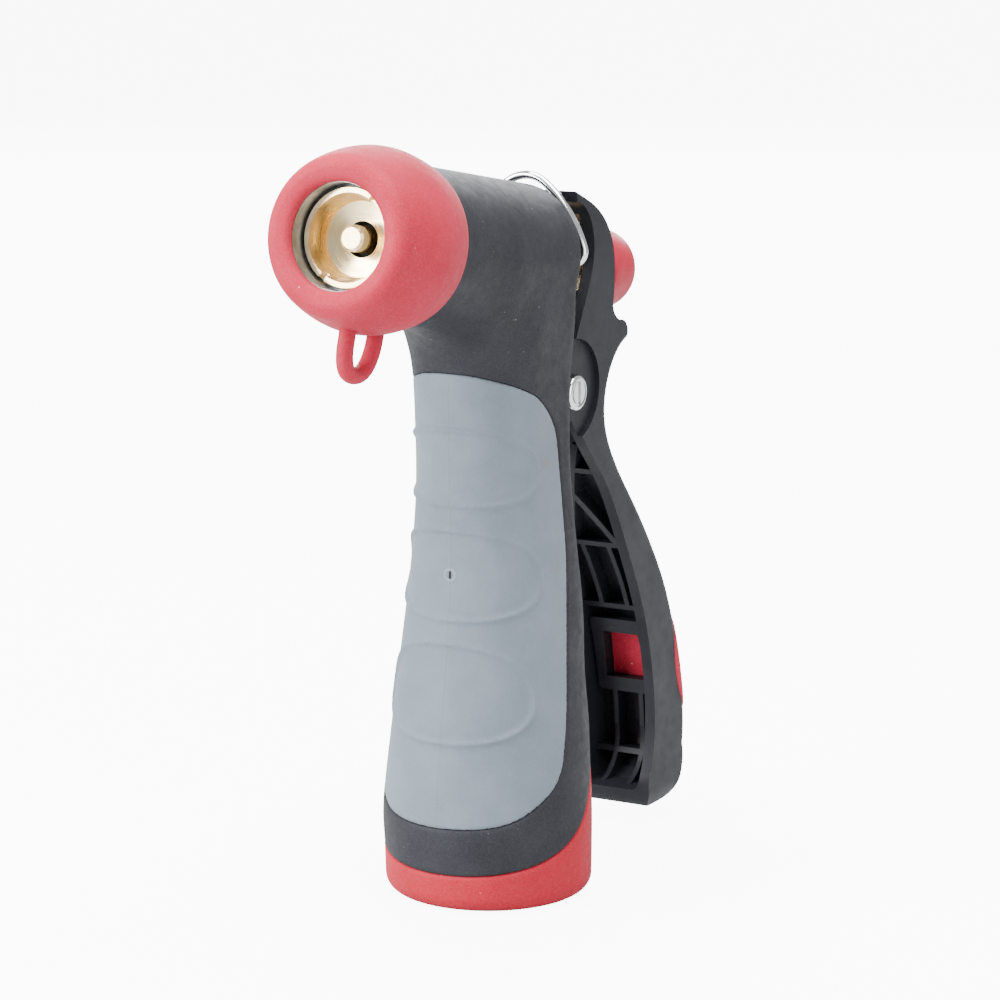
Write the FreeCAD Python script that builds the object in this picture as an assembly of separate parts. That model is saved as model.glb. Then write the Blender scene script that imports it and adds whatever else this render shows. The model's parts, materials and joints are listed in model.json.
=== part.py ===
import FreeCAD, Part
import math
import os

# Pistol-grip hose nozzle with a rear lever. Millimetres, +Z up, nozzle pointing to -Y.
# The origin is the centre of the hose inlet at the bottom face of the grip.

V = FreeCAD.Vector

# ---- driving dimensions -------------------------------------------------------------------
SKIN = 2.2                      # rubber thickness over the casting
BARREL_TILT = 10.0              # degrees the barrel points up
BARREL_Y = -51.8                # centre of the front opening
BARREL_Z = 130.8
BARREL_FRONT_R = 14.7
BARREL_REAR_R = 14.2
BARREL_REAR_S = 63.0            # distance of the rear face behind the front opening
BUMPER_END_S = 18.6             # rear edge of the front bumper ring
NOSE_R = 12.4                   # casting inside the ring
NOSE_S = -1.0
OPENING_R = 9.6
LOOP_WIRE_R = 1.55              # round bar of the hang loop

INLET_R = 12.3                  # minor radius of the 3/4 inch hose thread
INLET_LENGTH = 11.5
WASHER_SEAT_R = 12.9
WASHER_SEAT_TOP = 14.6
WATERWAY_R = 6.8
WATERWAY_Y = -4.0

INSERT_R = 9.05
CHAMBER_R = 7.8
GLAND_R = 5.0
GLAND_S = 57.0                  # start of the packing gland
BOSS_R = 9.0
BOSS_S = 67.2                   # end of the rear boss that holds the bail and the packing nut
STEM_R = 2.5
STEM_HOLE_R = 2.56
BAIL_S = 65.0
BAIL_UP = -0.1
BAIL_WIRE_R = 0.8
SPRING_R = 5.2                  # middle of the return spring's wire
SPRING_WIRE_R = 0.7
NUT_CORNER_R = 6.9

PIVOT_Y = 17.0
PIVOT_Z = 94.0
PIVOT_SCREW_R = 2.0
LEVER_HALF = 9.6                # lever half width outside
LEVER_WALL = 2.2
LEVER_WEB = 2.4
LUG_HALF = 7.05
LUG_R = 6.0
SLEEVE_R = 3.0
LEVER_EDGE_R = 1.5              # rounding along the lever's back edges
POCKET_Y = 16.4                 # round pocket in each ear
POCKET_Z = 94.6
POCKET_R = 9.8
POCKET_DEPTH = 1.0
STOP_GAP = 0.1

KNOB_CROWN_S = 85.84            # front crown of the knob on the stem axis
KNOB_DOME_R = 22.0
KNOB_END_S = 99.1
SPOTFACE_S = 85.4
SPOTFACE_TILT = 5.0

# Grip sections from the base up:
# height, half width, y of the widest line, y of the front, y of the back, front power, back power
GRIP_SECTIONS = [
    (0.0, 19.7, 0.0, -19.7, 19.5, 2.0, 2.0),
    (9.0, 19.9, -0.2, -20.1, 19.6, 2.0, 2.0),
    (17.0, 20.0, -0.4, -20.5, 19.4, 2.0, 2.0),
    (31.0, 18.6, 0.0, -18.9, 18.8, 2.0, 2.2),
    (47.0, 16.2, -1.0, -16.4, 16.8, 2.1, 3.2),
    (64.0, 13.8, -2.0, -14.6, 13.6, 2.1, 7.0),
    (79.0, 12.2, -2.5, -14.9, 12.0, 2.1, 12.0),
    (94.0, 12.2, -3.0, -15.3, 11.0, 2.1, 14.0),
    (101.0, 12.7, -3.0, -15.5, 10.8, 2.1, 14.0),
    (106.0, 13.3, -3.0, -17.2, 10.6, 2.1, 14.0),
    (111.0, 13.7, -3.0, -21.5, 10.4, 2.1, 14.0),
    (117.0, 13.9, -3.0, -30.0, 10.2, 2.1, 14.0),
]
SECTION_POLES = 72

# Lever side outline (y, z), back of the lever from the hood's tip down to the horn
HOOD_BACK = [
    (16.4, 132.4), (21.2, 130.4), (25.6, 128.1), (29.5, 124.6), (31.7, 120.5), (32.4, 114.8),
    (31.7, 109.2),
]
HORN_TOP = [(31.7, 109.2), (32.9, 106.8), (35.9, 105.6)]
HORN_NOSE = [(35.9, 105.6), (38.0, 103.2), (37.0, 100.9)]
LEVER_BACK = [
    (37.0, 100.9), (31.2, 95.3), (29.5, 88.0), (33.2, 79.3), (41.8, 68.9), (50.2, 58.3),
    (56.7, 47.9), (60.8, 37.8), (63.9, 26.0), (64.7, 18.5), (63.6, 11.4),
]
LEVER_TOE = [(63.6, 11.4), (60.4, 5.3), (54.0, 3.4)]
LEVER_HEEL = [(50.9, 4.1), (48.6, 7.0), (49.3, 12.0)]
LEVER_FRONT = [
    (49.3, 12.0), (50.7, 18.0), (49.9, 31.3), (47.7, 40.0), (44.3, 48.8), (39.5, 57.8),
    (34.4, 66.8), (28.1, 75.8), (22.7, 81.5), (17.0, 88.3),
]
EAR_FRONT = [(17.0, 88.3), (12.9, 94.0), (14.2, 98.6)]
HOOD_FRONT = [
    (14.2, 98.6), (16.7, 104.3), (19.6, 109.7), (22.4, 115.0), (23.9, 121.5), (22.4, 126.6),
    (17.2, 130.4),
]
# Front bumper's outer form: distance behind the front opening's plane, radius
BUMPER_LIP = [(-1.5, 9.6), (-2.15, 9.95), (-2.6, 10.9), (-2.75, 12.0)]
BUMPER_SIDE = [
    (-2.75, 12.0), (-2.4, 13.3), (-1.6, 14.2), (-0.2, 14.85), (1.8, 15.5), (5.2, 16.35),
    (9.1, 16.8), (13.1, 16.45), (16.4, 15.75),
]
BUMPER_REAR = [(16.4, 15.75), (18.0, 15.2), (18.6, 14.2)]
# Hang loop's centre line (y, z), both ends inside the ring
LOOP_LINE = [
    (-49.8, 115.2), (-50.6, 112.3), (-51.2, 109.4), (-50.6, 107.1), (-48.4, 105.9),
    (-45.4, 106.1), (-42.9, 108.0), (-41.3, 110.6), (-40.2, 115.0),
]

os.makedirs("parts", exist_ok=True)

BARREL = FreeCAD.Placement(V(0, BARREL_Y, BARREL_Z), FreeCAD.Rotation(V(1, 0, 0), -BARREL_TILT))


def save(name, shape):
    """Write one node, made of its solids only, to its own STEP file."""
    solids = shape.Solids
    body = solids[0] if len(solids) == 1 else Part.makeCompound(solids)
    body.exportStep("parts/" + name + ".step")
    print(name, len(solids), round(shape.Volume, 1), shape.isValid())


def on_barrel(shape):
    """Move a shape from the barrel's frame (y back along the axis, z up from it) to the row frame."""
    return shape.transformed(BARREL.toMatrix())


def along_barrel(radius, start, end):
    return Part.makeCylinder(radius, end - start, V(0, start, 0), V(0, 1, 0))


def turned(profile):
    """Revolve a closed outline of (distance, radius) points about the barrel's own y axis."""
    points = [V(0, s, r) for s, r in profile]
    face = Part.Face(Part.makePolygon(points + points[:1]))
    return face.revolve(V(0, 0, 0), V(0, 1, 0), 360)


def across(radius, y, z, x0, x1):
    """A cylinder along x."""
    return Part.makeCylinder(radius, x1 - x0, V(x0, y, z), V(1, 0, 0))


def spline(points):
    curve = Part.BSplineCurve()
    curve.interpolate([V(0, y, z) for y, z in points])
    return curve.toShape()


def spread(points):
    """A run of three points with a fourth between the first two, so that chain draws a spline."""
    first, second = points[0], points[1]
    middle = ((first[0] + second[0]) / 2, (first[1] + second[1]) / 2)
    return [first, middle] + points[1:]


def chain(*runs):
    """A closed face in the yz plane from runs of points; a run of 3 is an arc, of 2 a line."""
    edges = []
    for run in runs:
        points = [V(0, y, z) for y, z in run]
        if len(run) == 2:
            edges.append(Part.makeLine(points[0], points[1]))
        elif len(run) == 3:
            edges.append(Part.Arc(points[0], points[1], points[2]).toShape())
        else:
            edges.append(spline(run))
    return Part.Face(Part.Wire(edges))


def slab(face, half):
    """Extrude a yz face symmetrically to x = -half .. half."""
    return face.translated(V(-half, 0, 0)).extrude(V(2 * half, 0, 0))


def inset(points, depth):
    """Points moved to the right-hand side of their run by depth, which is inward on the lever's back."""
    moved = []
    for i, (y, z) in enumerate(points):
        y0, z0 = points[max(i - 1, 0)]
        y1, z1 = points[min(i + 1, len(points) - 1)]
        length = math.hypot(y1 - y0, z1 - z0)
        moved.append((y + depth * (z1 - z0) / length, z - depth * (y1 - y0) / length))
    return moved


# ---- grip envelope ------------------------------------------------------------------------
def grip_section(section, inward):
    height, half, widest, front, back, front_power, back_power = section
    poles = []
    for i in range(SECTION_POLES):
        angle = 2 * math.pi * i / SECTION_POLES
        c = abs(math.cos(angle))
        s = abs(math.sin(angle))
        in_front = math.sin(angle) < 0
        depth = (widest - front if in_front else back - widest) - inward
        power = front_power if in_front else back_power
        reach = ((c / (half - inward)) ** power + (s / depth) ** power) ** (-1 / power)
        poles.append(V(reach * math.cos(angle), widest + reach * math.sin(angle), height))
    curve = Part.BSplineCurve()
    curve.buildFromPoles(poles, True, 3)
    return Part.Wire(curve.toShape())


def grip_loft(inward):
    return Part.makeLoft([grip_section(s, inward) for s in GRIP_SECTIONS], True, False)


def envelope(inward):
    """The body's outer form, or the same form reduced on all sides by inward."""
    barrel = Part.makeCone(
        BARREL_FRONT_R - inward, BARREL_REAR_R - inward, BARREL_REAR_S - inward * 0.5 - 2.0,
        V(0, 2.0, 0), V(0, 1, 0))
    return grip_loft(inward).fuse(on_barrel(barrel))


def rear_boss():
    return on_barrel(along_barrel(BOSS_R, BARREL_REAR_S - 5.0, BOSS_S))


def pivot_lug(extra):
    """The lug between the lever's ears, or a larger copy of it for its hole in the rubber."""
    nose = across(LUG_R + extra, PIVOT_Y, PIVOT_Z, -LUG_HALF - extra, LUG_HALF + extra)
    root = Part.makeBox(
        2 * (LUG_HALF + extra), PIVOT_Y - 4.0, 2 * (LUG_R + extra),
        V(-LUG_HALF - extra, 4.0, PIVOT_Z - LUG_R - extra))
    return nose.fuse(root)


def body_casting():
    grip = envelope(SKIN)
    low = Part.makeBox(60, 60, 11, V(-30, -30, -1))
    foot = Part.makeCylinder(15.8, 12.0)
    nose = on_barrel(along_barrel(NOSE_R, NOSE_S, 20.0))
    casting = grip.cut(low).fuse([foot, nose, rear_boss(), pivot_lug(0)])
    bores = [
        Part.makeCylinder(INLET_R, INLET_LENGTH + 0.1, V(0, 0, -0.05)),
        Part.makeCylinder(WASHER_SEAT_R, WASHER_SEAT_TOP - INLET_LENGTH, V(0, 0, INLET_LENGTH)),
        Part.makeCylinder(WATERWAY_R, 122.0 - 14.0, V(0, WATERWAY_Y, 14.0)),
        on_barrel(along_barrel(OPENING_R - 0.1, NOSE_S - 1, 4.0)),
        on_barrel(along_barrel(INSERT_R + 0.05, 3.0, 11.5)),
        on_barrel(along_barrel(CHAMBER_R, 11.0, 56.0)),
        on_barrel(along_barrel(STEM_HOLE_R, 55.0, GLAND_S + 1)),
        on_barrel(along_barrel(GLAND_R, GLAND_S, BOSS_S + 1)),
        across(SLEEVE_R, PIVOT_Y, PIVOT_Z, -LUG_HALF - 1, LUG_HALF + 1),
    ]
    for start in (-12.5, 7.0):
        bores.append(on_barrel(across(BAIL_WIRE_R + 0.08, BAIL_S, BAIL_UP, start, start + 5.5)))
    return casting.cut(bores)


def base_band():
    """Region of the red base: low at the front, rising to both sides and the back."""
    edge = [
        (-24.0, 6.9), (-19.0, 7.3), (-15.5, 7.9), (-10.4, 9.2), (-4.6, 11.6), (1.5, 15.8),
        (6.5, 21.0), (14.0, 27.5), (24.0, 30.0)]
    low_back = (24.0, -1.0)
    low_front = (-24.0, -1.0)
    return slab(chain(edge, [edge[-1], low_back], [low_back, low_front], [low_front, edge[0]]), 30)


def panel_region():
    """Region of the grey front panel, seen from the side."""
    top = [
        (-26.0, 102.6), (-15.5, 101.9), (-13.1, 100.5), (-8.2, 98.6), (-2.6, 96.0), (1.8, 92.4),
        (4.6, 88.0)]
    back = [
        (4.6, 88.0), (6.0, 80.0), (6.2, 72.0), (5.5, 64.0), (3.0, 53.2), (0.1, 42.4), (-2.9, 31.7),
        (-4.4, 27.0)]
    low = [(-4.4, 27.0), (-6.4, 23.8), (-9.5, 21.2), (-13.8, 18.4), (-17.9, 16.8), (-26.0, 15.4)]
    return slab(chain(top, back, low, [low[-1], top[0]]), 30)


def rounded_foot():
    """Everything inside the rounded bottom edge of the grip."""
    foot = Part.makeCylinder(19.9, 6.0)
    rim = [e for e in foot.Edges if e.BoundBox.ZMax < 0.01]
    return foot.makeFillet(3.0, rim).fuse(Part.makeBox(80, 80, 160, V(-40, -40, 5.9)))


def skins():
    """The three rubber mouldings over the casting."""
    outer = envelope(0)
    shell = outer.cut(envelope(SKIN))
    room = Part.makeBox(60, 60, 10.0, V(-30, -30, 0))
    foot = outer.common(room).cut(Part.makeCylinder(15.8, 12.0))
    shell = shell.fuse(foot)
    shell = shell.cut([
        on_barrel(along_barrel(30, -20, BUMPER_END_S + 0.05)),
        on_barrel(along_barrel(BOSS_R + 0.05, 55, 80)),
        pivot_lug(0.05),
    ])
    base = shell.common(base_band()).common(rounded_foot())
    rest = shell.cut(base_band())
    return rest.cut(panel_region()), rest.common(panel_region()), base


def front_bumper():
    inner = [BUMPER_REAR[-1], (BUMPER_END_S, NOSE_R + 0.1), (NOSE_S - 0.05, NOSE_R + 0.1)]
    inner += [(NOSE_S - 0.05, OPENING_R), BUMPER_LIP[0]]
    closing = [[inner[i], inner[i + 1]] for i in range(len(inner) - 1)]
    ring = chain(BUMPER_LIP, BUMPER_SIDE, spread(BUMPER_REAR), *closing)
    ring = on_barrel(ring.revolve(V(0, 0, 0), V(0, 1, 0), 360))
    line = Part.Wire(spline(LOOP_LINE))
    start = line.Edges[0].valueAt(line.Edges[0].FirstParameter)
    heading = line.Edges[0].tangentAt(line.Edges[0].FirstParameter)
    section = Part.Wire(Part.makeCircle(LOOP_WIRE_R, start, heading))
    loop = line.makePipeShell([section], True, False)
    return ring.fuse(loop)


def nozzle_insert():
    profile = [
        (2.2, INSERT_R), (1.9, 8.8), (1.9, 7.9), (6.1, 6.73), (6.9, 3.24), (8.9, 3.24), (8.9, 7.4),
        (10.0, 7.4), (10.0, INSERT_R)]
    body = turned(profile)
    slots = []
    for side in (-1, 1):
        notch = Part.makeBox(1.2, 1.5, 3.0, V(-0.6, 1.5, side * 8.6 - 1.5))
        slots.append(notch.rotated(V(0, 0, 0), V(0, 1, 0), 32))
    return on_barrel(body.cut(slots))


def insert_gasket():
    return on_barrel(along_barrel(INSERT_R, 10.02, 11.48).cut(along_barrel(CHAMBER_R, 9, 12)))


def valve_stem():
    profile = [
        (3.1, 0.0), (3.1, 1.9), (3.5, 2.4), (11.2, 2.4), (11.2, 4.8), (13.0, 4.8), (13.6, 3.1),
        (30.0, 3.1), (30.0, STEM_R), (92.0, STEM_R), (92.4, 2.1), (92.4, 0.0)]
    return on_barrel(turned(profile))


def ring(inner, outer, start, end):
    return on_barrel(along_barrel(outer, start, end).cut(along_barrel(inner, start - 1, end + 1)))


def return_spring():
    start = 32.15
    end = 54.9
    turns = 7
    helix = Part.makeHelix((end - start) / turns, end - start, SPRING_R)
    wire = Part.Wire(Part.makeCircle(SPRING_WIRE_R, V(SPRING_R, 0, 0), V(0, 1, 0)))
    coil = Part.Wire(helix.Edges).makePipeShell([wire], True, True)
    coil = coil.rotated(V(0, 0, 0), V(1, 0, 0), -90).translated(V(0, start, 0))
    return on_barrel(coil)


def packing_nut():
    seat = BOSS_S + 0.1
    thread = along_barrel(GLAND_R - 0.05, 60.6, seat + 0.1)
    corners = []
    for i in range(6):
        angle = math.pi * i / 3
        corners.append(V(NUT_CORNER_R * math.cos(angle), seat, NUT_CORNER_R * math.sin(angle)))
    hexagon = Part.Face(Part.makePolygon(corners + corners[:1])).extrude(V(0, 4.0, 0))
    top = seat + 4.0
    chamfer = turned([(seat, 0), (seat, 6.4), (seat + 0.6, 7.0), (top - 0.7, 7.0), (top, 6.2), (top, 0)])
    return on_barrel(thread.fuse(hexagon.common(chamfer)).cut(along_barrel(STEM_HOLE_R, 55, 80)))


def arc_end(start, heading, radius, turn):
    """End point of an arc in the (x, up) plane and a point halfway, turning left by turn degrees."""
    cx = start[0] - radius * math.sin(math.radians(heading))
    cy = start[1] + radius * math.cos(math.radians(heading))

    def at(angle):
        turned_by = math.radians(heading + angle)
        return (cx + radius * math.sin(turned_by), cy - radius * math.cos(turned_by))
    return at(turn / 2), at(turn)


def hold_open_bail():
    """A wire arch over the top of the barrel's rear end, with both feet turned into the boss."""
    knee_turn = 113.0
    side_turn = 31.0
    start = (7.4, BAIL_UP)
    knee = (11.2, BAIL_UP)
    knee_mid, shin = arc_end(knee, 0, 2.2, knee_turn)
    side_mid, shoulder = arc_end(shin, knee_turn, 28.0, side_turn)
    left_to_turn = 180 - knee_turn - side_turn
    crown_radius = shoulder[0] / math.sin(math.radians(left_to_turn))
    crown = arc_end(shoulder, knee_turn + side_turn, crown_radius, left_to_turn)[1]

    def at(point, side=1):
        return V(side * point[0], BAIL_S, point[1])
    edges = [
        Part.makeLine(at(start), at(knee)),
        Part.Arc(at(knee), at(knee_mid), at(shin)).toShape(),
        Part.Arc(at(shin), at(side_mid), at(shoulder)).toShape(),
        Part.Arc(at(shoulder), V(0, BAIL_S, crown[1]), at(shoulder, -1)).toShape(),
        Part.Arc(at(shoulder, -1), at(side_mid, -1), at(shin, -1)).toShape(),
        Part.Arc(at(shin, -1), at(knee_mid, -1), at(knee, -1)).toShape(),
        Part.makeLine(at(knee, -1), at(start, -1)),
    ]
    section = Part.Wire(Part.makeCircle(BAIL_WIRE_R, at(start), V(1, 0, 0)))
    return on_barrel(Part.Wire(edges).makePipeShell([section], True, False))


# ---- lever --------------------------------------------------------------------------------
def lever_outline():
    return chain(
        HOOD_BACK, HORN_TOP, HORN_NOSE, LEVER_BACK, LEVER_TOE, [LEVER_TOE[-1], LEVER_HEEL[0]], LEVER_HEEL,
        LEVER_FRONT, EAR_FRONT, HOOD_FRONT, [HOOD_FRONT[-1], HOOD_BACK[0]])


def rounded_window(half, low, high, radius, y0, y1):
    """A prism along y with a rounded rectangular outline in the xz plane."""
    box = Part.makeBox(2 * half, y1 - y0, high - low, V(-half, y0, low))
    edges = [e for e in box.Edges if e.BoundBox.YLength > (y1 - y0) * 0.9]
    return box.makeFillet(radius, edges)


def lever_hollow(half):
    """The open channel inside the lever, from its front to the inside of its web."""
    hood = inset(HOOD_BACK, LEVER_WEB)
    back = inset(LEVER_BACK[2:], LEVER_WEB)
    joined = hood[:-1] + [(29.4, 109.0), (28.9, 102.0)] + back[:-1]
    toe = [back[-2], (60.3, 10.2), (56.0, 7.8)]
    face = chain(
        joined, toe, [(56.0, 7.8), (0.0, 7.8)], [(0.0, 7.8), (0.0, hood[0][1] - 0.2)],
        [(0.0, hood[0][1] - 0.2), (hood[0][0], hood[0][1] - 0.2)],
        [(hood[0][0], hood[0][1] - 0.2), hood[0]])
    return slab(face, half)


def back_edges(outer):
    """The side edges along the lever's back, below the horn."""
    found = []
    for edge in outer.Edges:
        box = edge.BoundBox
        if box.XLength < 0.01 and box.YMax > 62.0 and box.ZMax > 90.0:
            found.append(edge)
    return found


def lever():
    outer = slab(lever_outline(), LEVER_HALF)
    outer = outer.makeFillet(LEVER_EDGE_R, back_edges(outer))
    outer = outer.common(rounded_window(LEVER_HALF, 2.6, 140.0, 5.5, 0.0, 80.0))
    hollow = lever_hollow(LEVER_HALF - LEVER_WALL).common(
        rounded_window(LEVER_HALF - LEVER_WALL, 7.2, 137.0, 3.2, -1.0, 80.0))
    shell = outer.cut(hollow)

    # ribs stand 4 mm proud of the web's inside
    rib_zone = hollow.cut(hollow.translated(V(0, -4.0, 0)))
    plates = []
    for z in (12.5, 44.0, 58.5, 76.0):
        plates.append(Part.makeBox(24, 60, 1.1, V(-12, 20, z)))
    for x in (-3.4, 2.4):
        plates.append(Part.makeBox(1.0, 60, 23.5, V(x, 20, 4.0)))
        plates.append(Part.makeBox(1.0, 60, 15.0, V(x, 20, 44.0)))
    for lean in (-24, 24):
        plate = Part.makeBox(1.4, 60, 25.0, V(-0.7, 15, -12.5))
        plates.append(plate.rotated(V(0, 0, 0), V(0, 1, 0), lean).translated(V(0, 0, 71.0)))
    ribs = [rib_zone.common(plate) for plate in plates]
    frame = rib_zone.common(rounded_window(6.6, 25.5, 41.5, 1.0, 20, 80).cut(pad_plug()))
    shell = shell.fuse(ribs + [frame])

    floor = LEVER_HALF - POCKET_DEPTH
    return shell.cut([
        across(PIVOT_SCREW_R + 0.07, PIVOT_Y, PIVOT_Z, -20, 20),
        across(POCKET_R, POCKET_Y, POCKET_Z, floor, LEVER_HALF + 1),
        across(POCKET_R, POCKET_Y, POCKET_Z, -LEVER_HALF - 1, -floor),
        stem_slot(),
        spotface(),
        lever_pad(),
    ])


def stem_slot():
    """Upright slot in the web for the stem; the knob bears on its two sides."""
    low = 113.0
    high = 120.8
    half = 5.5
    bottom = Part.makeCylinder(half, 24.0, V(0, 18, low), V(0, 1, 0))
    top = Part.makeCylinder(half, 24.0, V(0, 18, high), V(0, 1, 0))
    middle = Part.makeBox(2 * half, 24.0, high - low, V(-half, 18, low))
    return bottom.fuse([top, middle])


def spotface():
    disc = Part.makeCylinder(9.6, 12.0, V(0, 0, 0), V(0, 1, 0))
    return on_barrel(disc.rotated(V(0, 0, 0), V(1, 0, 0), -SPOTFACE_TILT).translated(V(0, SPOTFACE_S, 0)))


def pad_plug():
    """The block of the red pad that shows through the web, wider at the bottom."""
    low = 28.5
    high = 38.5
    points = [V(-4.6, 20, low), V(4.6, 20, low), V(3.9, 20, high), V(-3.9, 20, high)]
    return Part.Face(Part.makePolygon(points + points[:1])).extrude(V(0, 60, 0))


def lever_pad():
    run = LEVER_BACK[4:]
    proud = inset(run, -0.5)
    sunk = inset(run, 1.2)
    deep = inset(run, LEVER_WEB + 0.6)
    window = rounded_window(LEVER_HALF - 1.3, 23.5, 50.0, 4.0, 20, 80)
    skin = slab(chain(proud, [proud[-1], sunk[-1]], sunk[::-1], [sunk[0], proud[0]]), 10).common(window)
    core = slab(chain(sunk, [sunk[-1], deep[-1]], deep[::-1], [deep[0], sunk[0]]), 10).common(pad_plug())
    return skin.fuse(core)


def pivot_screw():
    seat = LEVER_HALF - POCKET_DEPTH + STOP_GAP
    shank = across(PIVOT_SCREW_R, PIVOT_Y, PIVOT_Z, -seat - 2.2, seat + 0.5)
    head = across(3.45, PIVOT_Y, PIVOT_Z, seat, seat + 1.5)
    rim = [e for e in head.Edges if abs(e.BoundBox.XMin - (seat + 1.5)) < 0.01 and e.Length > 5]
    head = head.makeFillet(0.7, rim)
    groove = across(2.7, PIVOT_Y, PIVOT_Z, seat + 1.15, seat + 2)
    groove = groove.cut(across(2.2, PIVOT_Y, PIVOT_Z, seat + 1, seat + 2))
    slot = Part.makeBox(1.2, 1.0, 4.4, V(seat + 0.75, PIVOT_Y - 0.5, PIVOT_Z - 2.2))
    return head.fuse(shank).cut([groove, slot])


def pivot_nut():
    seat = -LEVER_HALF + POCKET_DEPTH - STOP_GAP
    corner_r = 3.75
    corners = []
    for i in range(6):
        angle = math.pi * i / 3
        corners.append(V(seat, PIVOT_Y + corner_r * math.cos(angle), PIVOT_Z + corner_r * math.sin(angle)))
    body = Part.Face(Part.makePolygon(corners + corners[:1])).extrude(V(-2.2, 0, 0))
    return body.cut(across(PIVOT_SCREW_R, PIVOT_Y, PIVOT_Z, -20, 20))


def pivot_sleeve():
    tube = across(SLEEVE_R, PIVOT_Y, PIVOT_Z, -LUG_HALF, LUG_HALF)
    return tube.cut(across(PIVOT_SCREW_R, PIVOT_Y, PIVOT_Z, -20, 20))


# ---- knob ---------------------------------------------------------------------------------
def dome(radius):
    return KNOB_CROWN_S + KNOB_DOME_R - math.sqrt(KNOB_DOME_R ** 2 - radius ** 2)


def adjusting_knob():
    flare = [
        (dome(8.4) + 1.2, 8.6), (91.0, 8.5), (94.5, 8.15), (97.0, 7.85), (98.2, 7.5),
        (KNOB_END_S - 0.15, 6.8), (KNOB_END_S, 6.0)]
    front = [(dome(6.3), 6.3), (dome(7.6), 7.6), (dome(8.4) + 0.3, 8.2), flare[0]]
    hollow = [
        flare[-1], (KNOB_END_S, 0.0), (94.8, 0.0), (94.8, 5.2), (88.2, 5.2), (88.2, 6.3), front[0]]
    straight = [[run[i], run[i + 1]] for run in (hollow, front) for i in range(len(run) - 1)]
    face = chain(flare, *straight)
    return on_barrel(face.revolve(V(0, 0, 0), V(0, 1, 0), 360))


def knob_insert():
    profile = [
        (dome(STEM_HOLE_R), STEM_HOLE_R), (dome(4.9), 4.9), (dome(5.2) + 0.2, 5.2), (94.7, 5.2),
        (94.7, STEM_HOLE_R)]
    return on_barrel(turned(profile))


def main():
    sleeve, panel, base = skins()
    save("body_casting", body_casting())
    save("grip_sleeve", sleeve)
    save("grip_panel", panel)
    save("base_bumper", base)
    save("front_bumper", front_bumper())
    save("nozzle_insert", nozzle_insert())
    save("insert_gasket", insert_gasket())
    save("valve_stem", valve_stem())
    save("poppet_seal", ring(2.4, 5.4, 9.1, 11.18))
    save("spring_washer", ring(STEM_R, 6.4, 30.02, 31.4))
    save("return_spring", return_spring())
    save("stem_packing", ring(STEM_HOLE_R, GLAND_R - 0.05, GLAND_S + 0.02, 59.4))
    save("packing_washer", ring(STEM_HOLE_R, GLAND_R - 0.05, 59.45, 60.5))
    save("packing_nut", packing_nut())
    save("hold_open_bail", hold_open_bail())
    save("lever", lever())
    save("lever_pad", lever_pad())
    save("pivot_screw", pivot_screw())
    save("pivot_nut", pivot_nut())
    save("pivot_sleeve", pivot_sleeve())
    save("adjusting_knob", adjusting_knob())
    save("knob_insert", knob_insert())
    save("knob_o_ring", ring(5.25, 6.25, 86.9, 88.15))
    washer = Part.makeCylinder(12.75, 2.8, V(0, 0, 11.6)).cut(Part.makeCylinder(8.0, 4.0, V(0, 0, 11)))
    save("hose_washer", washer)


main()
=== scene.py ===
import json
import math

import bpy
import numpy as np
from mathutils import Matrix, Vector


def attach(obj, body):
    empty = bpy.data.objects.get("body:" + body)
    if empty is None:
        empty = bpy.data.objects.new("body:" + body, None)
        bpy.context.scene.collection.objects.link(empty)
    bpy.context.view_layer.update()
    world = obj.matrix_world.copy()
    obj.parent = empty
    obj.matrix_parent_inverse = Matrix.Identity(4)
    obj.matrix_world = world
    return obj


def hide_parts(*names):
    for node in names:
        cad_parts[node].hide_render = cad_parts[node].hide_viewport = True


# A pistol-grip hose nozzle with a rear lever: materials for the CAD pieces, finer rubber skins,
# the red pad's wrapped edges, and the studio. The part's lengths are written in millimetres and
# scaled by MM; the studio's are in metres.

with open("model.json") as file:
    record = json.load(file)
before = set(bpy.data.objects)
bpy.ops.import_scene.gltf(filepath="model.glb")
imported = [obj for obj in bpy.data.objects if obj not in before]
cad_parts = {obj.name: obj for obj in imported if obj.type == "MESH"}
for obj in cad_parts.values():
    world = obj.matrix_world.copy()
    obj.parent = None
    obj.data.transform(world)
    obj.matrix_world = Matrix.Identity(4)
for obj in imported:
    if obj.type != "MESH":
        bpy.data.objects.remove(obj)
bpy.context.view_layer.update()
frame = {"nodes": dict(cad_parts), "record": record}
NODES = frame["nodes"]

MM = 0.001
BARREL_ORIGIN = (-51.8, 130.8)  # y and z of the middle of the front opening
BARREL_TILT = math.radians(10.0)


# ---- materials ----------------------------------------------------------------------------
SHEEN_ROUGHNESS = 0.45
RUBBER_SPECULAR = 0.12
PLASTIC_SPECULAR = 0.09
GRAIN = 0.35                    # size of the rubber's grain


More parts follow.
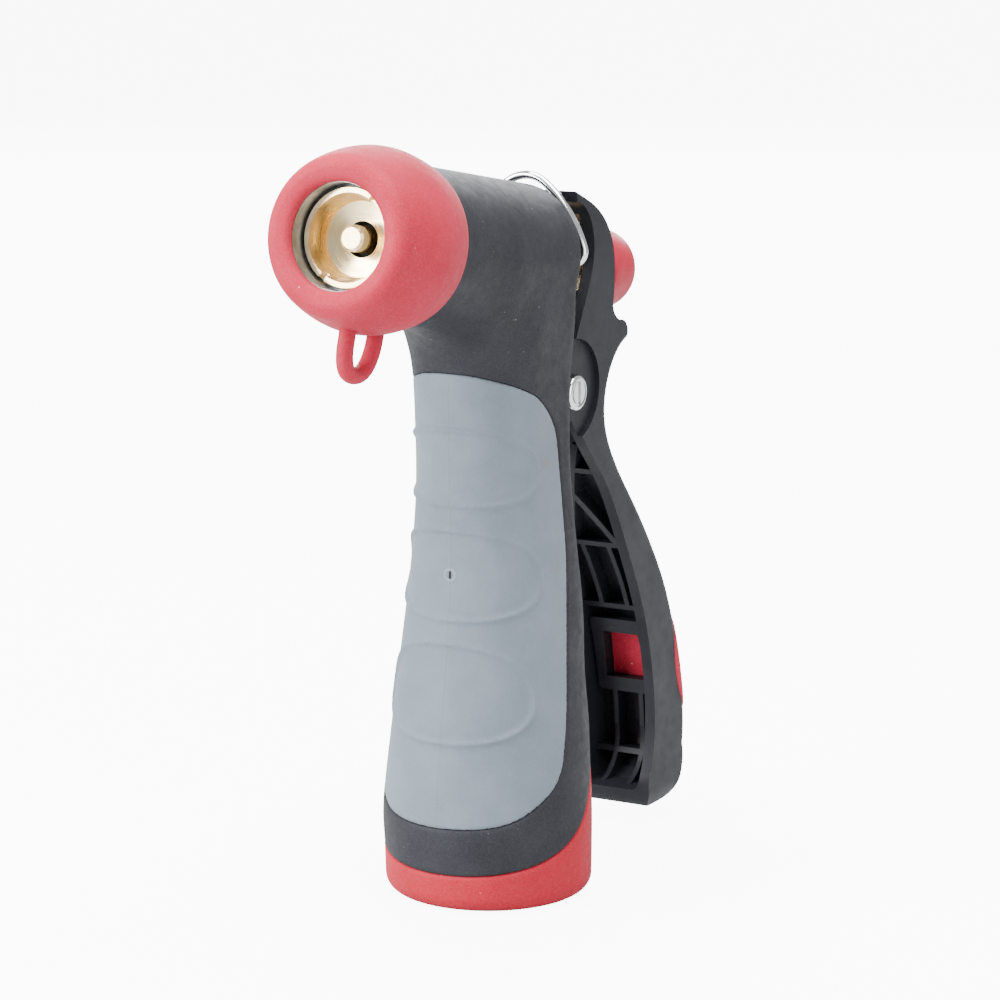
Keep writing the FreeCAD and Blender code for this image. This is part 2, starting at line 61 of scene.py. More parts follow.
class Finish:
    """One procedural material, built node by node on a Principled shader."""

    def __init__(self, name, rough, metallic=0.0, specular=0.5, sheen=0.0):
        self.material = bpy.data.materials.new(name)
        self.material.use_nodes = True
        self.tree = self.material.node_tree
        self.shader = self.tree.nodes["Principled BSDF"]
        self.shader.inputs["Roughness"].default_value = rough
        self.shader.inputs["Metallic"].default_value = metallic
        self.shader.inputs["Specular IOR Level"].default_value = specular
        self.shader.inputs["Sheen Weight"].default_value = sheen
        self.shader.inputs["Sheen Roughness"].default_value = SHEEN_ROUGHNESS
        self.place = self.node("ShaderNodeTexCoord").outputs["Object"]
        self.height = None

    @classmethod
    def of(cls, material):
        """Carry on with a finish that has already been built."""
        made = cls.__new__(cls)
        made.material = material
        made.tree = material.node_tree
        made.shader = made.tree.nodes["Principled BSDF"]
        made.place = made.node("ShaderNodeTexCoord").outputs["Object"]
        made.height = made.shader.inputs["Normal"].links[0].from_socket
        return made

    def absolute(self, value):
        made = self.node("ShaderNodeMath", operation="ABSOLUTE")
        self.link(value, made.inputs[0])
        return made.outputs["Value"]

    def distance_to(self, spot):
        made = self.node("ShaderNodeVectorMath", operation="DISTANCE")
        self.link(self.place, made.inputs[0])
        made.inputs[1].default_value = spot
        return made.outputs["Value"]

    def node(self, kind, **settings):
        made = self.tree.nodes.new(kind)
        for key, value in settings.items():
            setattr(made, key, value)
        return made

    def link(self, source, target):
        self.tree.links.new(source, target)

    def noise(self, size, detail=2.0, rough=0.5):
        """Noise whose features are about size metres across."""
        made = self.node("ShaderNodeTexNoise")
        made.inputs["Scale"].default_value = 1.0 / size
        made.inputs["Detail"].default_value = detail
        made.inputs["Roughness"].default_value = rough
        self.link(self.place, made.inputs["Vector"])
        return made.outputs["Fac"]

    def specks(self, spacing, radius):
        """1 inside scattered round specks, 0 elsewhere; radius is a share of spacing."""
        cells = self.node("ShaderNodeTexVoronoi")
        cells.inputs["Scale"].default_value = 1.0 / spacing
        self.link(self.place, cells.inputs["Vector"])
        return self.ramp(cells.outputs["Distance"], radius, radius * 0.6)

    def ramp(self, source, low, high, out_low=0.0, out_high=1.0):
        """Source mapped from low..high to out_low..out_high, held at both ends."""
        made = self.node("ShaderNodeMapRange")
        limits = {"From Min": low, "From Max": high, "To Min": out_low, "To Max": out_high}
        for key, value in limits.items():
            made.inputs[key].default_value = value
        self.link(source, made.inputs["Value"])
        return made.outputs["Result"]

    def times(self, a, b):
        made = self.node("ShaderNodeMath", operation="MULTIPLY")
        self.link(a, made.inputs[0])
        if isinstance(b, float):
            made.inputs[1].default_value = b
        else:
            self.link(b, made.inputs[1])
        return made.outputs["Value"]

    def plus(self, a, b):
        made = self.node("ShaderNodeMath", operation="ADD")
        self.link(a, made.inputs[0])
        self.link(b, made.inputs[1])
        return made.outputs["Value"]

    def mix(self, amount, a, b):
        """Colour a where amount is 0, b where it is 1; a and b are colours or sockets."""
        made = self.node("ShaderNodeMix", data_type="RGBA")
        self.link(amount, made.inputs["Factor"])
        for socket, value in ((made.inputs[6], a), (made.inputs[7], b)):
            if isinstance(value, tuple):
                socket.default_value = (*value, 1.0)
            else:
                self.link(value, socket)
        return made.outputs[2]

    def bump(self, height, depth, strength=1.0):
        """Add a bump layer of the given depth in metres."""
        made = self.node("ShaderNodeBump")
        made.inputs["Distance"].default_value = depth
        made.inputs["Strength"].default_value = strength
        self.link(height, made.inputs["Height"])
        if self.height is not None:
            self.link(self.height, made.inputs["Normal"])
        self.height = made.outputs["Normal"]
        self.link(self.height, self.shader.inputs["Normal"])

    def colour(self, source):
        self.link(source, self.shader.inputs["Base Color"])

    def roughness(self, source):
        self.link(source, self.shader.inputs["Roughness"])


def rubber(name, dark, light, dust, rough, sheen, dust_amount):
    """Soft moulded rubber: fine grain, cloudy tone, scattered pale dust."""
    made = Finish(name, rough, specular=RUBBER_SPECULAR, sheen=sheen)
    cloud = made.noise(9 * MM, 4.0, 0.55)
    fine = made.noise(GRAIN * MM, 3.0, 0.6)
    blotch = made.noise(2.2 * MM, 3.0, 0.6)
    cloudy = made.mix(made.ramp(cloud, 0.35, 0.68), dark, light)
    tone = made.mix(made.ramp(fine, 0.4, 0.75, 0.0, 0.07), cloudy, dust)
    few = made.times(made.specks(3.1 * MM, 0.055), made.ramp(made.noise(7 * MM), 0.5, 0.62))
    many = made.times(made.specks(1.1 * MM, 0.09), made.ramp(made.noise(4 * MM), 0.56, 0.7))
    dusted = made.times(made.plus(few, many), dust_amount)
    made.colour(made.mix(dusted, tone, dust))
    made.roughness(made.ramp(blotch, 0.3, 0.7, rough - 0.07, rough + 0.08))
    made.bump(fine, 0.035 * MM, 0.8)
    made.bump(blotch, 0.05 * MM, 0.35)
    made.bump(dusted, 0.03 * MM, 0.5)
    return made.material


def plastic(name, dark, light, dust, rough, dust_amount):
    """Satin moulded plastic with a faint waviness and a little dust."""
    made = Finish(name, rough, specular=PLASTIC_SPECULAR)
    cloud = made.noise(12 * MM, 3.0, 0.5)
    fine = made.noise(0.22 * MM, 2.0, 0.5)
    tone = made.mix(made.ramp(cloud, 0.35, 0.65), dark, light)
    few = made.times(made.specks(4.0 * MM, 0.035), made.ramp(made.noise(9 * MM), 0.5, 0.6))
    dusted = made.times(few, dust_amount)
    made.colour(made.mix(dusted, tone, dust))
    made.roughness(made.ramp(made.noise(3 * MM, 4.0), 0.3, 0.7, rough - 0.06, rough + 0.08))
    made.bump(fine, 0.012 * MM, 0.6)
    made.bump(made.noise(5 * MM, 2.0), 0.05 * MM, 0.3)
    return made.material


def metal(name, dark, light, rough, depth=0.008):
    """Bare or plated metal with fine marks of the given depth."""
    made = Finish(name, rough, metallic=1.0)
    marks = made.noise(0.6 * MM, 3.0, 0.6)
    cloud = made.noise(4 * MM, 3.0, 0.55)
    made.colour(made.mix(made.ramp(cloud, 0.3, 0.7), dark, light))
    made.roughness(made.ramp(marks, 0.3, 0.7, rough * 0.7, rough * 1.4))
    made.bump(marks, depth * MM, 0.6)
    return made.material


def about_barrel(made):
    """Coordinates for rings about the barrel's axis: distance from the axis, distance along it."""
    to_axis = made.node("ShaderNodeMapping")
    to_axis.inputs["Rotation"].default_value = (BARREL_TILT, 0.0, 0.0)
    c, s = math.cos(BARREL_TILT), math.sin(BARREL_TILT)
    y, z = BARREL_ORIGIN[0] * MM, BARREL_ORIGIN[1] * MM
    to_axis.inputs["Location"].default_value = (0.0, z * s - y * c, -y * s - z * c)
    made.link(made.place, to_axis.inputs["Vector"])
    split = made.node("ShaderNodeSeparateXYZ")
    made.link(to_axis.outputs["Vector"], split.inputs["Vector"])
    flat = made.node("ShaderNodeCombineXYZ")
    made.link(split.outputs["X"], flat.inputs["X"])
    made.link(split.outputs["Z"], flat.inputs["Z"])
    radius = made.node("ShaderNodeVectorMath", operation="LENGTH")
    made.link(flat.outputs["Vector"], radius.inputs[0])
    turned = made.node("ShaderNodeCombineXYZ")
    made.link(radius.outputs["Value"], turned.inputs["X"])
    made.link(split.outputs["Y"], turned.inputs["Y"])
    return turned.outputs["Vector"]


def turned_brass():
    """Brass with fine rings of tool marks round the barrel's axis."""
    made = Finish("brass_turned", 0.22, metallic=1.0)
    cloud = made.noise(6 * MM, 3.0, 0.5)
    made.place = about_barrel(made)
    grooves = made.noise(0.25 * MM, 2.0, 0.5)
    made.colour(made.mix(made.ramp(cloud, 0.3, 0.7), (0.80, 0.60, 0.31), (0.93, 0.77, 0.48)))
    made.roughness(made.ramp(grooves, 0.3, 0.7, 0.17, 0.30))
    made.bump(grooves, 0.006 * MM, 0.5)
    return made.material


GATE_PLACE = (0.0, -14.6, 63.6)
STAINS = (((12.2, 0.5, 83.5), 1.4), ((12.6, 1.0, 63.5), 2.2), ((12.0, 2.4, 92.0), 0.9))
STAIN_COLOUR = (0.20, 0.12, 0.07)
GATE_RING_COLOUR = (0.30, 0.32, 0.34)
# Painted shade: near-black for the shade inside the gate's slit, which has no depth of its own
GATE_SLIT_SHADE_COLOUR = (0.01, 0.01, 0.012)


def scaled(spot):
    """A place in millimetres, in metres."""
    return tuple(c * MM for c in spot)


def panel_rubber():
    """Grey rubber with the mould's seam down the front, a gate mark whose slit is painted shade in
    near-black, and a few tan stains.
    """
    material = rubber(
        "rubber_grey", (0.118, 0.148, 0.176), (0.140, 0.172, 0.202), (0.34, 0.35, 0.36), 0.6, 0.05, 0.2)
    made = Finish.of(material)
    split = made.node("ShaderNodeSeparateXYZ")
    made.link(made.place, split.inputs["Vector"])
    off_centre = made.absolute(split.outputs["X"])
    seam = made.ramp(off_centre, 0.05 * MM, 0.22 * MM, 1.0, 0.0)
    made.bump(seam, 0.06 * MM, 0.7)
    gate = made.distance_to(scaled(GATE_PLACE))
    ring_inside = made.ramp(gate, 0.75 * MM, 0.95 * MM)
    ring_outside = made.ramp(gate, 1.15 * MM, 1.45 * MM, 1.0, 0.0)
    ring = made.times(ring_inside, ring_outside)
    # Painted shade: the slit is only a mask with no bump, coloured near-black for the shade in it
    slit_length = made.ramp(gate, 0.62 * MM, 0.85 * MM, 1.0, 0.0)
    slit_width = made.ramp(off_centre, 0.20 * MM, 0.36 * MM, 1.0, 0.0)
    slit_shade = made.times(slit_length, slit_width)
    stained = made.shader.inputs["Base Color"].links[0].from_socket
    for spot, size in STAINS:
        near = made.distance_to(scaled(spot))
        fading = made.ramp(near, 0.3 * size * MM, size * MM, 0.5, 0.0)
        stained = made.mix(made.times(fading, made.noise(0.8 * MM, 4.0)), stained, STAIN_COLOUR)
    marked = made.mix(made.times(ring, 0.35), stained, GATE_RING_COLOUR)
    # Paints the slit's shade near-black over the gate mark
    made.colour(made.mix(slit_shade, marked, GATE_SLIT_SHADE_COLOUR))
    made.bump(ring, 0.12 * MM, 0.8)
    return material


RED = (0.330, 0.009, 0.027)
RED_LIGHT = (0.370, 0.015, 0.037)
RED_DUST = (0.62, 0.30, 0.33)
BLACK = (0.0140, 0.0152, 0.0192)
BLACK_LIGHT = (0.0212, 0.0225, 0.0275)
BASE_RED = rubber(
    "rubber_red_base", (0.320, 0.006, 0.017), (0.355, 0.010, 0.024), RED_DUST, 0.6, 0.0, 0.5)
MATERIALS = {
    "black_rubber": rubber("rubber_black", BLACK, BLACK_LIGHT, (0.16, 0.16, 0.17), 0.58, 0.0, 0.9),
    "grey_rubber": panel_rubber(),
    "red_rubber": rubber("rubber_red", RED, RED_LIGHT, RED_DUST, 0.6, 0.03, 0.8),
    "seal_rubber": rubber(
        "rubber_seal", (0.012, 0.012, 0.012), (0.02, 0.02, 0.02), (0.1, 0.1, 0.1), 0.5, 0.0, 0.2),
    "black_plastic": plastic(
        "plastic_black", (0.011, 0.012, 0.0155), (0.016, 0.0175, 0.022), (0.25, 0.25, 0.26), 0.38, 0.6),
    "red_plastic": plastic("plastic_red", RED, RED_LIGHT, (0.75, 0.45, 0.47), 0.42, 0.7),
    "brass": turned_brass(),
    "zinc": metal("zinc_cast", (0.25, 0.26, 0.28), (0.42, 0.43, 0.45), 0.38, depth=0.03),
    "steel": metal("steel_plain", (0.50, 0.50, 0.52), (0.62, 0.62, 0.64), 0.3),
    "chromed_wire": metal("chrome_bright", (0.62, 0.63, 0.65), (0.78, 0.79, 0.81), 0.1, depth=0.004),
}


def paint_cad_nodes():
    """Give every CAD piece the material of its slot."""
    slots = {part["node"]: part["material_slot"] for part in frame["record"]["subparts"]}
    for name, piece in NODES.items():
        piece.data.materials.clear()
        piece.data.materials.append(MATERIALS[slots[name]])


paint_cad_nodes()


# ---- rubber skins, made from one blended form ---------------------------------------------
CELL = 0.48
SHELL = 1.9                     # thickness of the skins
EDGE_R = 0.5                    # rounding where two colours meet
FOOT_R = 3.0                    # rounding of the foot's bottom edge
FOOT_BORE_R = 15.85             # the foot is solid rubber outside this radius, up to FOOT_TOP
FOOT_TOP = 10.0
GRIP_TOP = 121.0                # the grip's form runs on inside the barrel up to here
BARREL_R = 14.72                # at the front opening
BARREL_TAPER = 0.0083
BARREL_END = 63.0
BARREL_END_R = 0.7
BOSS_HOLE_R = 9.05
BOSS_HOLE_START = 55.0
RING_END = 18.65                # the sleeve starts behind the red ring
NECK_FRONT_Y = -2.0             # the blend into the barrel widens from here forward
NECK_RUN = 14.0
NECK_BLEND = 0.9
NECK_BLEND_GAIN = 4.2
PANEL_OVERLAP = 0.02            # how far the panel reaches past its edge, into the sleeve
TABLE_STEP = 0.25

# height, half width, y of the widest line, y of the front, y of the back, front power, back power
SECTIONS = np.array([
    (0.0, 19.7, 0.0, -19.7, 19.5, 2.0, 2.0),
    (9.0, 19.86, -0.2, -20.1, 19.6, 2.0, 2.0),
    (17.0, 19.92, -0.4, -20.5, 19.4, 2.0, 2.0),
    (31.0, 18.6, 0.0, -18.9, 18.8, 2.0, 2.2),
    (47.0, 16.2, -1.0, -16.4, 16.8, 2.1, 3.2),
    (64.0, 13.8, -2.0, -14.6, 13.6, 2.1, 7.0),
    (79.0, 12.2, -2.5, -14.9, 12.0, 2.1, 12.0),
    (94.0, 12.2, -3.0, -15.3, 11.0, 2.1, 14.0),
    (101.0, 12.7, -3.0, -15.5, 10.8, 2.1, 14.0),
    (106.0, 13.3, -3.0, -17.2, 10.6, 2.1, 14.0),
    (111.0, 13.7, -3.0, -21.5, 10.4, 2.1, 14.0),
    (117.0, 13.9, -3.0, -30.0, 10.2, 2.1, 14.0),
])
BASE_EDGE = [
    (-24.0, 6.9), (-19.0, 7.3), (-15.5, 7.9), (-10.4, 9.2), (-4.6, 11.6), (1.5, 15.8), (6.5, 21.0),
    (14.0, 27.5), (24.0, 30.0)]
PANEL_EDGE = [
    (-26.0, 102.4), (-17.5, 101.9), (-14.7, 101.3), (-12.3, 100.3), (-8.2, 98.6), (-2.6, 96.0),
    (1.8, 92.4), (4.6, 88.0), (6.0, 80.0), (6.2, 72.0), (5.5, 64.0), (3.0, 53.2), (0.1, 42.4), (-2.9, 31.7),
    (-4.4, 27.0), (-6.4, 23.8), (-9.5, 21.2), (-13.8, 18.4), (-17.9, 16.8), (-26.0, 15.4)]
# Finger rings: middle height at the front, at the side end, half height, half width as an angle
FINGER_RINGS = [(83.9, 82.3, 7.1, 87.0), (63.6, 63.0, 8.4, 78.0), (41.6, 40.9, 9.2, 60.0)]
RIDGE_HEIGHT = 0.5
RIDGE_HALF = 0.46
RING_POWER = 2.3                # 2 would make the rings ellipses


def smooth_run(points, steps=14):
    """A dense run through the points (Catmull-Rom)."""
    p = np.array(points, float)
    p = np.vstack([2 * p[0] - p[1], p, 2 * p[-1] - p[-2]])
    t = np.linspace(0, 1, steps, endpoint=False)[:, None]
    out = []
    for a, b, c, d in zip(p[:-3], p[1:-2], p[2:-1], p[3:]):
        out.append(b + 0.5 * t * (c - a + t * (2 * a - 5 * b + 4 * c - d + t * (3 * (b - c) + d - a))))
    return np.vstack(out + [p[-2:-1]])


class Region:
    """Signed distance to a closed outline in the yz plane, negative inside, read from a table."""

    def __init__(self, outline):
        self.y = np.arange(-28, 28.01, TABLE_STEP)
        self.z = np.arange(-4, 140.01, TABLE_STEP)
        a = outline
        b = np.roll(outline, -1, axis=0)
        yy, zz = np.meshgrid(self.y, self.z, indexing="ij")
        best = np.full(yy.shape, 1e9)
        inside = np.zeros(yy.shape, bool)
        for (ay, az), (by, bz) in zip(a, b):
            dy, dz = by - ay, bz - az
            t = np.clip(((yy - ay) * dy + (zz - az) * dz) / max(dy * dy + dz * dz, 1e-9), 0, 1)
            best = np.minimum(best, (yy - ay - t * dy) ** 2 + (zz - az - t * dz) ** 2)
            if dz:
                crosses = ((az > zz) != (bz > zz)) & (yy < dy * (zz - az) / dz + ay)
                inside ^= crosses
        self.table = np.where(inside, -1, 1) * np.sqrt(best)

    def at(self, y, z):
        """The distance at each y and z, by bilinear interpolation."""
        fy = np.clip((y - self.y[0]) / TABLE_STEP, 0, len(self.y) - 1.001)
        fz = np.clip((z - self.z[0]) / TABLE_STEP, 0, len(self.z) - 1.001)
        i, j = fy.astype(int), fz.astype(int)
        u, v = fy - i, fz - j
        t = self.table
        return ((t[i, j] * (1 - u) + t[i + 1, j] * u) * (1 - v)
                + (t[i, j + 1] * (1 - u) + t[i + 1, j + 1] * u) * v)


def both(a, b, r):
    """Inside a and b, with the edge between them rounded to radius r."""
    return np.hypot(np.maximum(a + r, 0), np.maximum(b + r, 0)) + np.minimum(-r, np.maximum(a, b))


def either(a, b, k):
    """Inside a or b, blended over about k."""
    h = np.maximum(k - np.abs(a - b), 0) / k
    return np.minimum(a, b) - h * h * k / 4


DENSE_Z = np.arange(0, 117.01, 0.25)    # the sections' run, close enough to read linearly
DENSE = np.column_stack([
    np.interp(DENSE_Z, *smooth_run(SECTIONS[:, [0, i]], 40).T) for i in range(1, 7)])


def barrel_coordinates(y, z):
    """Distance back along the barrel's axis from its front opening, and height above the axis."""
    c, s = math.cos(BARREL_TILT), math.sin(BARREL_TILT)
    dy, dz = y - BARREL_ORIGIN[0], z - BARREL_ORIGIN[1]
    return dy * c - dz * s, dy * s + dz * c


def grip_form(x, y, z):
    """Distance outside the grip alone, and the y of its widest line, at each point."""
    half, widest, front, back, front_power, back_power = (
        np.interp(z, DENSE_Z, DENSE[:, i]) for i in range(6))
    ahead = y < widest
    depth = np.where(ahead, widest - front, back - widest)
    power = np.where(ahead, front_power, back_power)
    across = np.maximum(np.abs(x) / half, 1e-6)
    along = np.maximum(np.abs(y - widest) / depth, 1e-6)
    rho = (across ** power + along ** power) ** (1 / power)
    slope = np.hypot((across / rho) ** (power - 1) / half, (along / rho) ** (power - 1) / depth)
    grip = (rho - 1) / slope
    return both(grip, -z, FOOT_R), widest


def outer_form(x, y, z):
    """The outside of all the rubber: negative inside, about in millimetres."""
    grip, _ = grip_form(x, y, z)
    grip = np.maximum(grip, z - GRIP_TOP)
    s, up = barrel_coordinates(y, z)
    barrel = np.hypot(x, up) - (BARREL_R - BARREL_TAPER * s)
    barrel = both(barrel, s - BARREL_END, BARREL_END_R)
    ahead = np.clip((NECK_FRONT_Y - y) / NECK_RUN, 0, 1)
    return either(grip, barrel, NECK_BLEND + NECK_BLEND_GAIN * ahead * ahead * (3 - 2 * ahead))


def ridges(x, y, z):
    """Height of the raised finger rings at each point."""
    _, widest = grip_form(x, y, z)
    angle = np.degrees(np.arctan2(np.abs(x), widest - y))
    height = np.zeros_like(x)
    for middle, side_middle, half, reach in FINGER_RINGS:
        share = np.clip(angle / reach, 0, 1.2)
        centre = middle + (side_middle - middle) * share ** 2
        rise = np.abs(z - centre) / half
        rho = (share ** RING_POWER + rise ** RING_POWER) ** (1 / RING_POWER)
        away = (rho - 1) * half * (1 + 0.35 * share)
        height = np.maximum(height, np.exp(-(away / RIDGE_HALF) ** 2))
    return height * RIDGE_HEIGHT


def crossings(value, axis):
    """Where the grid's edges along one axis cross zero, the four cells round each such edge,
    and whether the edge starts inside."""
    inside = value < 0
    first = [slice(None)] * 3
    second = [slice(None)] * 3
    first[axis] = slice(0, -1)
    second[axis] = slice(1, None)
    index = np.argwhere(inside[tuple(first)] != inside[tuple(second)])
    other = [(axis + 1) % 3, (axis + 2) % 3]
    for o in other:
        index = index[(index[:, o] > 0) & (index[:, o] < value.shape[o] - 1)]
    start = value[tuple(index.T)]
    ahead = index.copy()
    ahead[:, axis] += 1
    end = value[tuple(ahead.T)]
    crossing = index.astype(float)
    crossing[:, axis] += start / (start - end)
    around = []
    for da, db in ((0, 0), (1, 0), (1, 1), (0, 1)):
        corner = index.copy()
        corner[:, other[0]] -= da
        corner[:, other[1]] -= db
        around.append(np.ravel_multi_index(corner.T, value.shape))
    return crossing, around, start < 0


def surface(form, low, high, cell):
    """Quads on the zero of form (surface nets), with the points then moved onto the zero."""
    axes = [np.arange(a, b + cell, cell) for a, b in zip(low, high)]
    value = form(*np.meshgrid(*axes, indexing="ij"))
    cells, points, quads, flips = [], [], [], []
    for axis in range(3):
        crossing, around, starts_inside = crossings(value, axis)
        cells += around
        points += [crossing] * len(around)
        quads.append(np.column_stack(around))
        flips.append(starts_inside)
    keys, number = np.unique(np.concatenate(cells), return_inverse=True)
    total = np.concatenate(points)
    count = np.bincount(number)
    place = np.column_stack([np.bincount(number, total[:, i]) / count for i in range(3)])
    place = place * cell + np.array([a[0] for a in axes])
    faces = np.searchsorted(keys, np.concatenate(quads))
    flip = np.concatenate(flips)
    faces[~flip] = faces[~flip][:, ::-1]
    for _ in range(2):
        place -= newton_step(form, place, cell)
    return place, faces


def newton_step(form, place, cell):
    """How far to move each point back to reach the zero of form, at most 0.4 of a cell."""
    e = 0.02
    here = form(*place.T)
    slope = np.column_stack([
        (form(*(place + e * np.eye(3)[i]).T) - form(*(place - e * np.eye(3)[i]).T)) / (2 * e)
        for i in range(3)])
    step = here[:, None] * slope / np.maximum((slope ** 2).sum(1), 0.2)[:, None]
    reach = np.linalg.norm(step, axis=1)[:, None]
    return step * np.minimum(1, 0.4 * cell / np.maximum(reach, 1e-9))


def mesh_piece(name, spots, faces, material, smooth):
    """A new object from points in metres and faces."""
    mesh = bpy.data.meshes.new(name)
    mesh.from_pydata(spots, [], faces)
    mesh.polygons.foreach_set("use_smooth", [smooth] * len(mesh.polygons))
    mesh.update()
    piece = bpy.data.objects.new(name, mesh)
    bpy.context.scene.collection.objects.link(piece)
    mesh.materials.append(material)
    return piece


def make_skins():
    """The three rubber mouldings over the casting, in place of their plain CAD solids."""
    base = Region(np.vstack([smooth_run(BASE_EDGE), [(27.9, 30.0), (27.9, -3.9), (-27.9, -3.9)]]))
    panel = Region(smooth_run(PANEL_EDGE))

    def base_form(x, y, z):
        outer = outer_form(x, y, z)
        rubber = both(outer, base.at(y, z), EDGE_R)
        hollow = np.where(z < FOOT_TOP, np.hypot(x, y) - FOOT_BORE_R, outer + SHELL)
        return np.maximum(rubber, -hollow)

    def panel_form(x, y, z):
        outer = outer_form(x, y, z) - ridges(x, y, z)
        rubber = both(outer, panel.at(y, z) - PANEL_OVERLAP, EDGE_R)
        return np.maximum(rubber, -(outer + SHELL))

    def sleeve_form(x, y, z):
        outer = outer_form(x, y, z)
        s, up = barrel_coordinates(y, z)
        rubber = both(outer, -np.minimum(base.at(y, z), panel.at(y, z)), EDGE_R)
        rubber = np.maximum(rubber, RING_END - s)
        boss = np.maximum(np.hypot(x, up) - BOSS_HOLE_R, BOSS_HOLE_START - s)
        rubber = np.maximum(rubber, -boss)
        return np.maximum(rubber, -(outer + SHELL))

    jobs = (
        ("skin_base", base_form, (-21, -22, -1.2), (21, 21, 31), "red_rubber", "base_bumper"),
        ("skin_panel", panel_form, (-21, -22, 13), (21, 9, 104), "grey_rubber", "grip_panel"),
        ("skin_sleeve", sleeve_form, (-21, -36, 5), (21, 21, 146), "black_rubber", "grip_sleeve"),
    )
    for name, form, low, high, slot, node in jobs:
        place, faces = surface(form, low, high, CELL)
        finish = BASE_RED if node == "base_bumper" else MATERIALS[slot]
        piece = mesh_piece(name, (place * MM).tolist(), faces.tolist(), finish, True)
        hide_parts(node)
        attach(piece, "body")


make_skins()


# ---- the red pad's edges, wrapped round the lever's back corners --------------------------
PAD_BACK = [(50.2, 58.3), (56.7, 47.9), (60.8, 37.8), (63.9, 26.0), (64.7, 18.5)]
WRAP_LOW = 21.0
WRAP_HIGH = 43.5
WRAP_REACH = 2.7                # how far the red comes round onto the lever's side
WRAP_PROUD = 0.28
WRAP_EDGE = 0.02                # what is left of that at the edge
WRAP_SUNK = -0.35               # the hidden inside lies this deep in the lever
WRAP_LEAST = 0.05               # narrowest share of the reach, at both ends
CORNER_R = 1.5                  # rounding of the lever's back corners
CORNER_X = 8.1                  # middle of that rounding


def round_corner(way):
    """Place (x, depth) and outward direction after going way millimetres round the corner."""
    turn = way / CORNER_R
    if turn < math.pi / 2:
        out = (math.sin(turn), -math.cos(turn))
        return (CORNER_X + CORNER_R * out[0], CORNER_R + CORNER_R * out[1]), out
    return (CORNER_X + CORNER_R, CORNER_R + way - CORNER_R * math.pi / 2), (1.0, 0.0)


def wrap_ring(back, inward, reach, side, steps=9):
    """A closed loop round one section of the wrapped edge: its outside, then its hidden inside."""
    outside, inside = [], []
    for i in range(steps + 1):
        share = i / steps
        (x, depth), out = round_corner(share * reach)
        rise = WRAP_PROUD * math.sqrt(max(1 - share ** 4, 0.0)) + WRAP_EDGE
        for loop, lift in ((outside, rise), (inside, WRAP_SUNK)):
            d = depth + out[1] * lift
            loop.append((side * (x + out[0] * lift), back[0] + inward[0] * d, back[1] + inward[1] * d))
    return outside + inside[::-1]


def wrap_rings(side):
    """The wrapped edge's sections from its top to its bottom, widest just below the middle."""
    run = smooth_run(PAD_BACK, 30)
    heading = np.gradient(run, axis=0)
    heading /= np.linalg.norm(heading, axis=1)[:, None]
    full_reach = WRAP_REACH + CORNER_R * (math.pi / 2 - 1)
    rings = []
    for back, (along_y, along_z) in zip(run, heading):
        if not WRAP_LOW < back[1] < WRAP_HIGH:
            continue
        share = (WRAP_HIGH - back[1]) / (WRAP_HIGH - WRAP_LOW)
        bulge = math.sin(math.pi * share ** 1.2) ** 0.7
        reach = full_reach * max(bulge, WRAP_LEAST)
        rings.append(wrap_ring(back, (along_z, -along_y), reach, side))
    return rings


def joined_faces(ring_count, size):
    """Quads between neighbouring closed rings of points, and a cap on each end."""
    faces = []
    for r in range(ring_count - 1):
        here = r * size
        there = here + size
        for k in range(size):
            n = (k + 1) % size
            faces.append((here + k, here + n, there + n, there + k))
    last = (ring_count - 1) * size
    faces.append(tuple(range(size))[::-1])
    faces.append(tuple(range(last, last + size)))
    return faces


def make_pad_wraps():
    """Both wrapped edges of the red pad, which ride with the trigger."""
    for name, side in (("pad_wrap_near", 1), ("pad_wrap_far", -1)):
        rings = wrap_rings(side)
        faces = joined_faces(len(rings), len(rings[0]))
        if side < 0:
            faces = [face[::-1] for face in faces]
        spots = [scaled(spot) for ring in rings for spot in ring]
        piece = mesh_piece(name, spots, faces, MATERIALS["red_rubber"], False)
        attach(piece, "trigger")


make_pad_wraps()


# ---- stage, lights, camera ----------------------------------------------------------------
BACKDROP_SEEN = 9.0             # glow of the white backdrop as the camera sees it
FLOOR_CAST = 0.35               # what the floor's glow gives to the object
SKY_CAST = 0.72                 # what the sky's glow gives to the object
FLOOR_SIZE = 6.0
LIGHT_TARGET = (0.0, 0.0, 0.08)
# place, width and height, watts
SOFT_LIGHTS = {
    "left_box": ((-0.70, -0.75, 0.40), (0.5, 0.8), 30),
    "top_box": ((0.0, -0.1, 0.95), (0.7, 0.7), 30),
    "right_box": ((0.80, -0.45, 0.40), (0.5, 0.8), 7),
    "back_box": ((-0.65, 1.15, 0.60), (1.2, 0.8), 30),
}
CAMERA_PLACE = (0.34470, -0.60925, 0.214)
CAMERA_DOWN = math.radians(11.2106)
CAMERA_TURN = math.radians(29.3262)
CAMERA_LENS = 136.48
CAMERA_SENSOR = 36.0


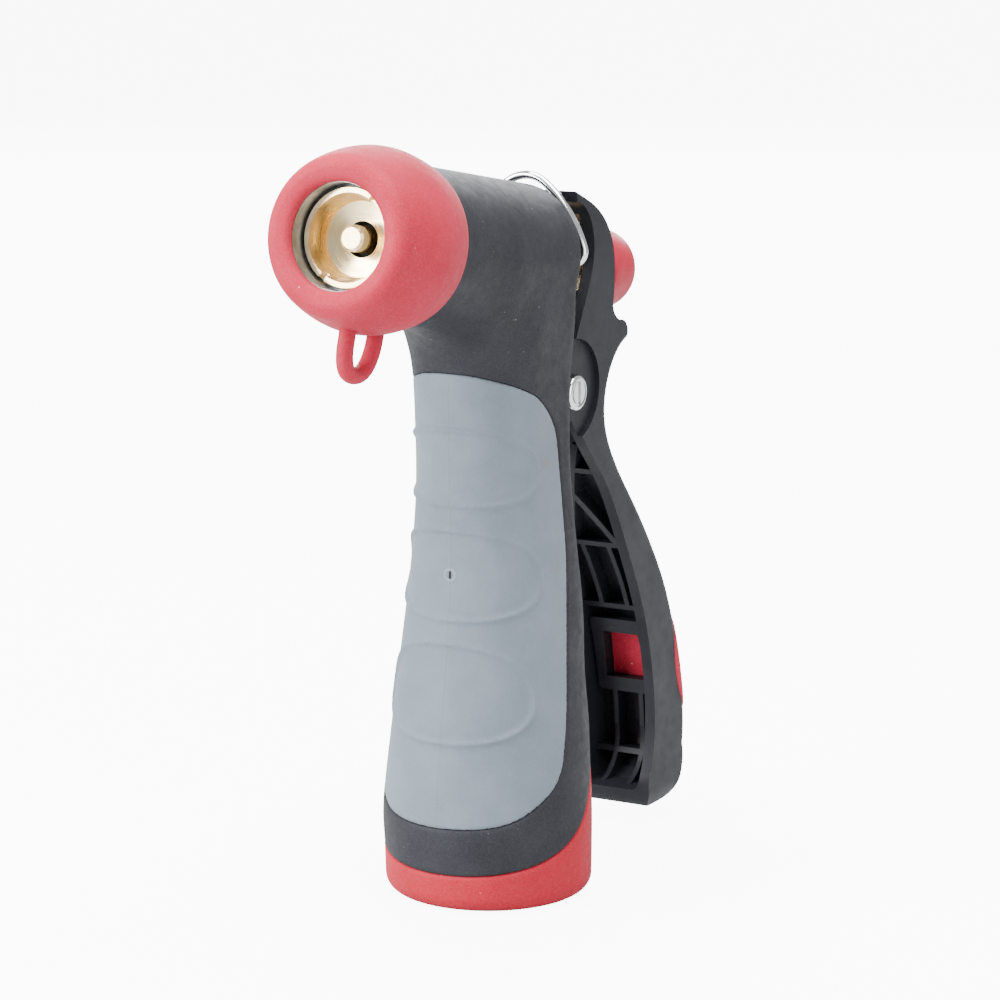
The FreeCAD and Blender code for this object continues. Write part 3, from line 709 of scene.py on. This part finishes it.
def make_floor():
    """A plain pale floor that glows white for the camera and a little for the object."""
    bpy.ops.mesh.primitive_plane_add(size=FLOOR_SIZE, location=(0, 0, 0))
    floor = bpy.context.object
    floor.name = "floor"
    pale = Finish("floor_pale", 0.8, specular=0.1)
    pale.colour(pale.mix(pale.noise(0.4, 2.0), (0.44, 0.44, 0.44), (0.46, 0.46, 0.46)))
    pale.shader.inputs["Emission Color"].default_value = (1.0, 1.0, 1.0, 1.0)
    seen = pale.node("ShaderNodeLightPath").outputs["Is Camera Ray"]
    glow = pale.ramp(seen, 0.0, 1.0, FLOOR_CAST, BACKDROP_SEEN)
    pale.link(glow, pale.shader.inputs["Emission Strength"])
    floor.data.materials.append(pale.material)


def soft_light(name, place, size, watts):
    data = bpy.data.lights.new(name, "AREA")
    data.shape = "RECTANGLE"
    data.size, data.size_y = size
    data.energy = watts
    lamp = bpy.data.objects.new(name, data)
    bpy.context.scene.collection.objects.link(lamp)
    lamp.location = place
    heading = Vector(LIGHT_TARGET) - Vector(place)
    lamp.rotation_euler = heading.to_track_quat("-Z", "Y").to_euler()


def make_sky():
    """An even white sky, seen as bright as the floor."""
    world = bpy.data.worlds.new("studio")
    world.use_nodes = True
    tree = world.node_tree
    background = tree.nodes["Background"]
    background.inputs["Color"].default_value = (1.0, 1.0, 1.0, 1.0)
    seen = tree.nodes.new("ShaderNodeMapRange")
    seen.inputs["To Min"].default_value = SKY_CAST
    seen.inputs["To Max"].default_value = BACKDROP_SEEN
    rays = tree.nodes.new("ShaderNodeLightPath")
    tree.links.new(rays.outputs["Is Camera Ray"], seen.inputs["Value"])
    tree.links.new(seen.outputs["Result"], background.inputs["Strength"])
    bpy.context.scene.world = world


def make_camera():
    data = bpy.data.cameras.new("camera")
    data.sensor_width = CAMERA_SENSOR
    data.lens = CAMERA_LENS
    data.clip_start = 0.01
    camera = bpy.data.objects.new("camera", data)
    bpy.context.scene.collection.objects.link(camera)
    camera.location = CAMERA_PLACE
    camera.rotation_euler = (math.pi / 2 - CAMERA_DOWN, 0.0, CAMERA_TURN)
    bpy.context.scene.camera = camera


make_floor()
make_sky()
for light_name, (light_place, light_size, light_watts) in SOFT_LIGHTS.items():
    soft_light(light_name, light_place, light_size, light_watts)
make_camera()
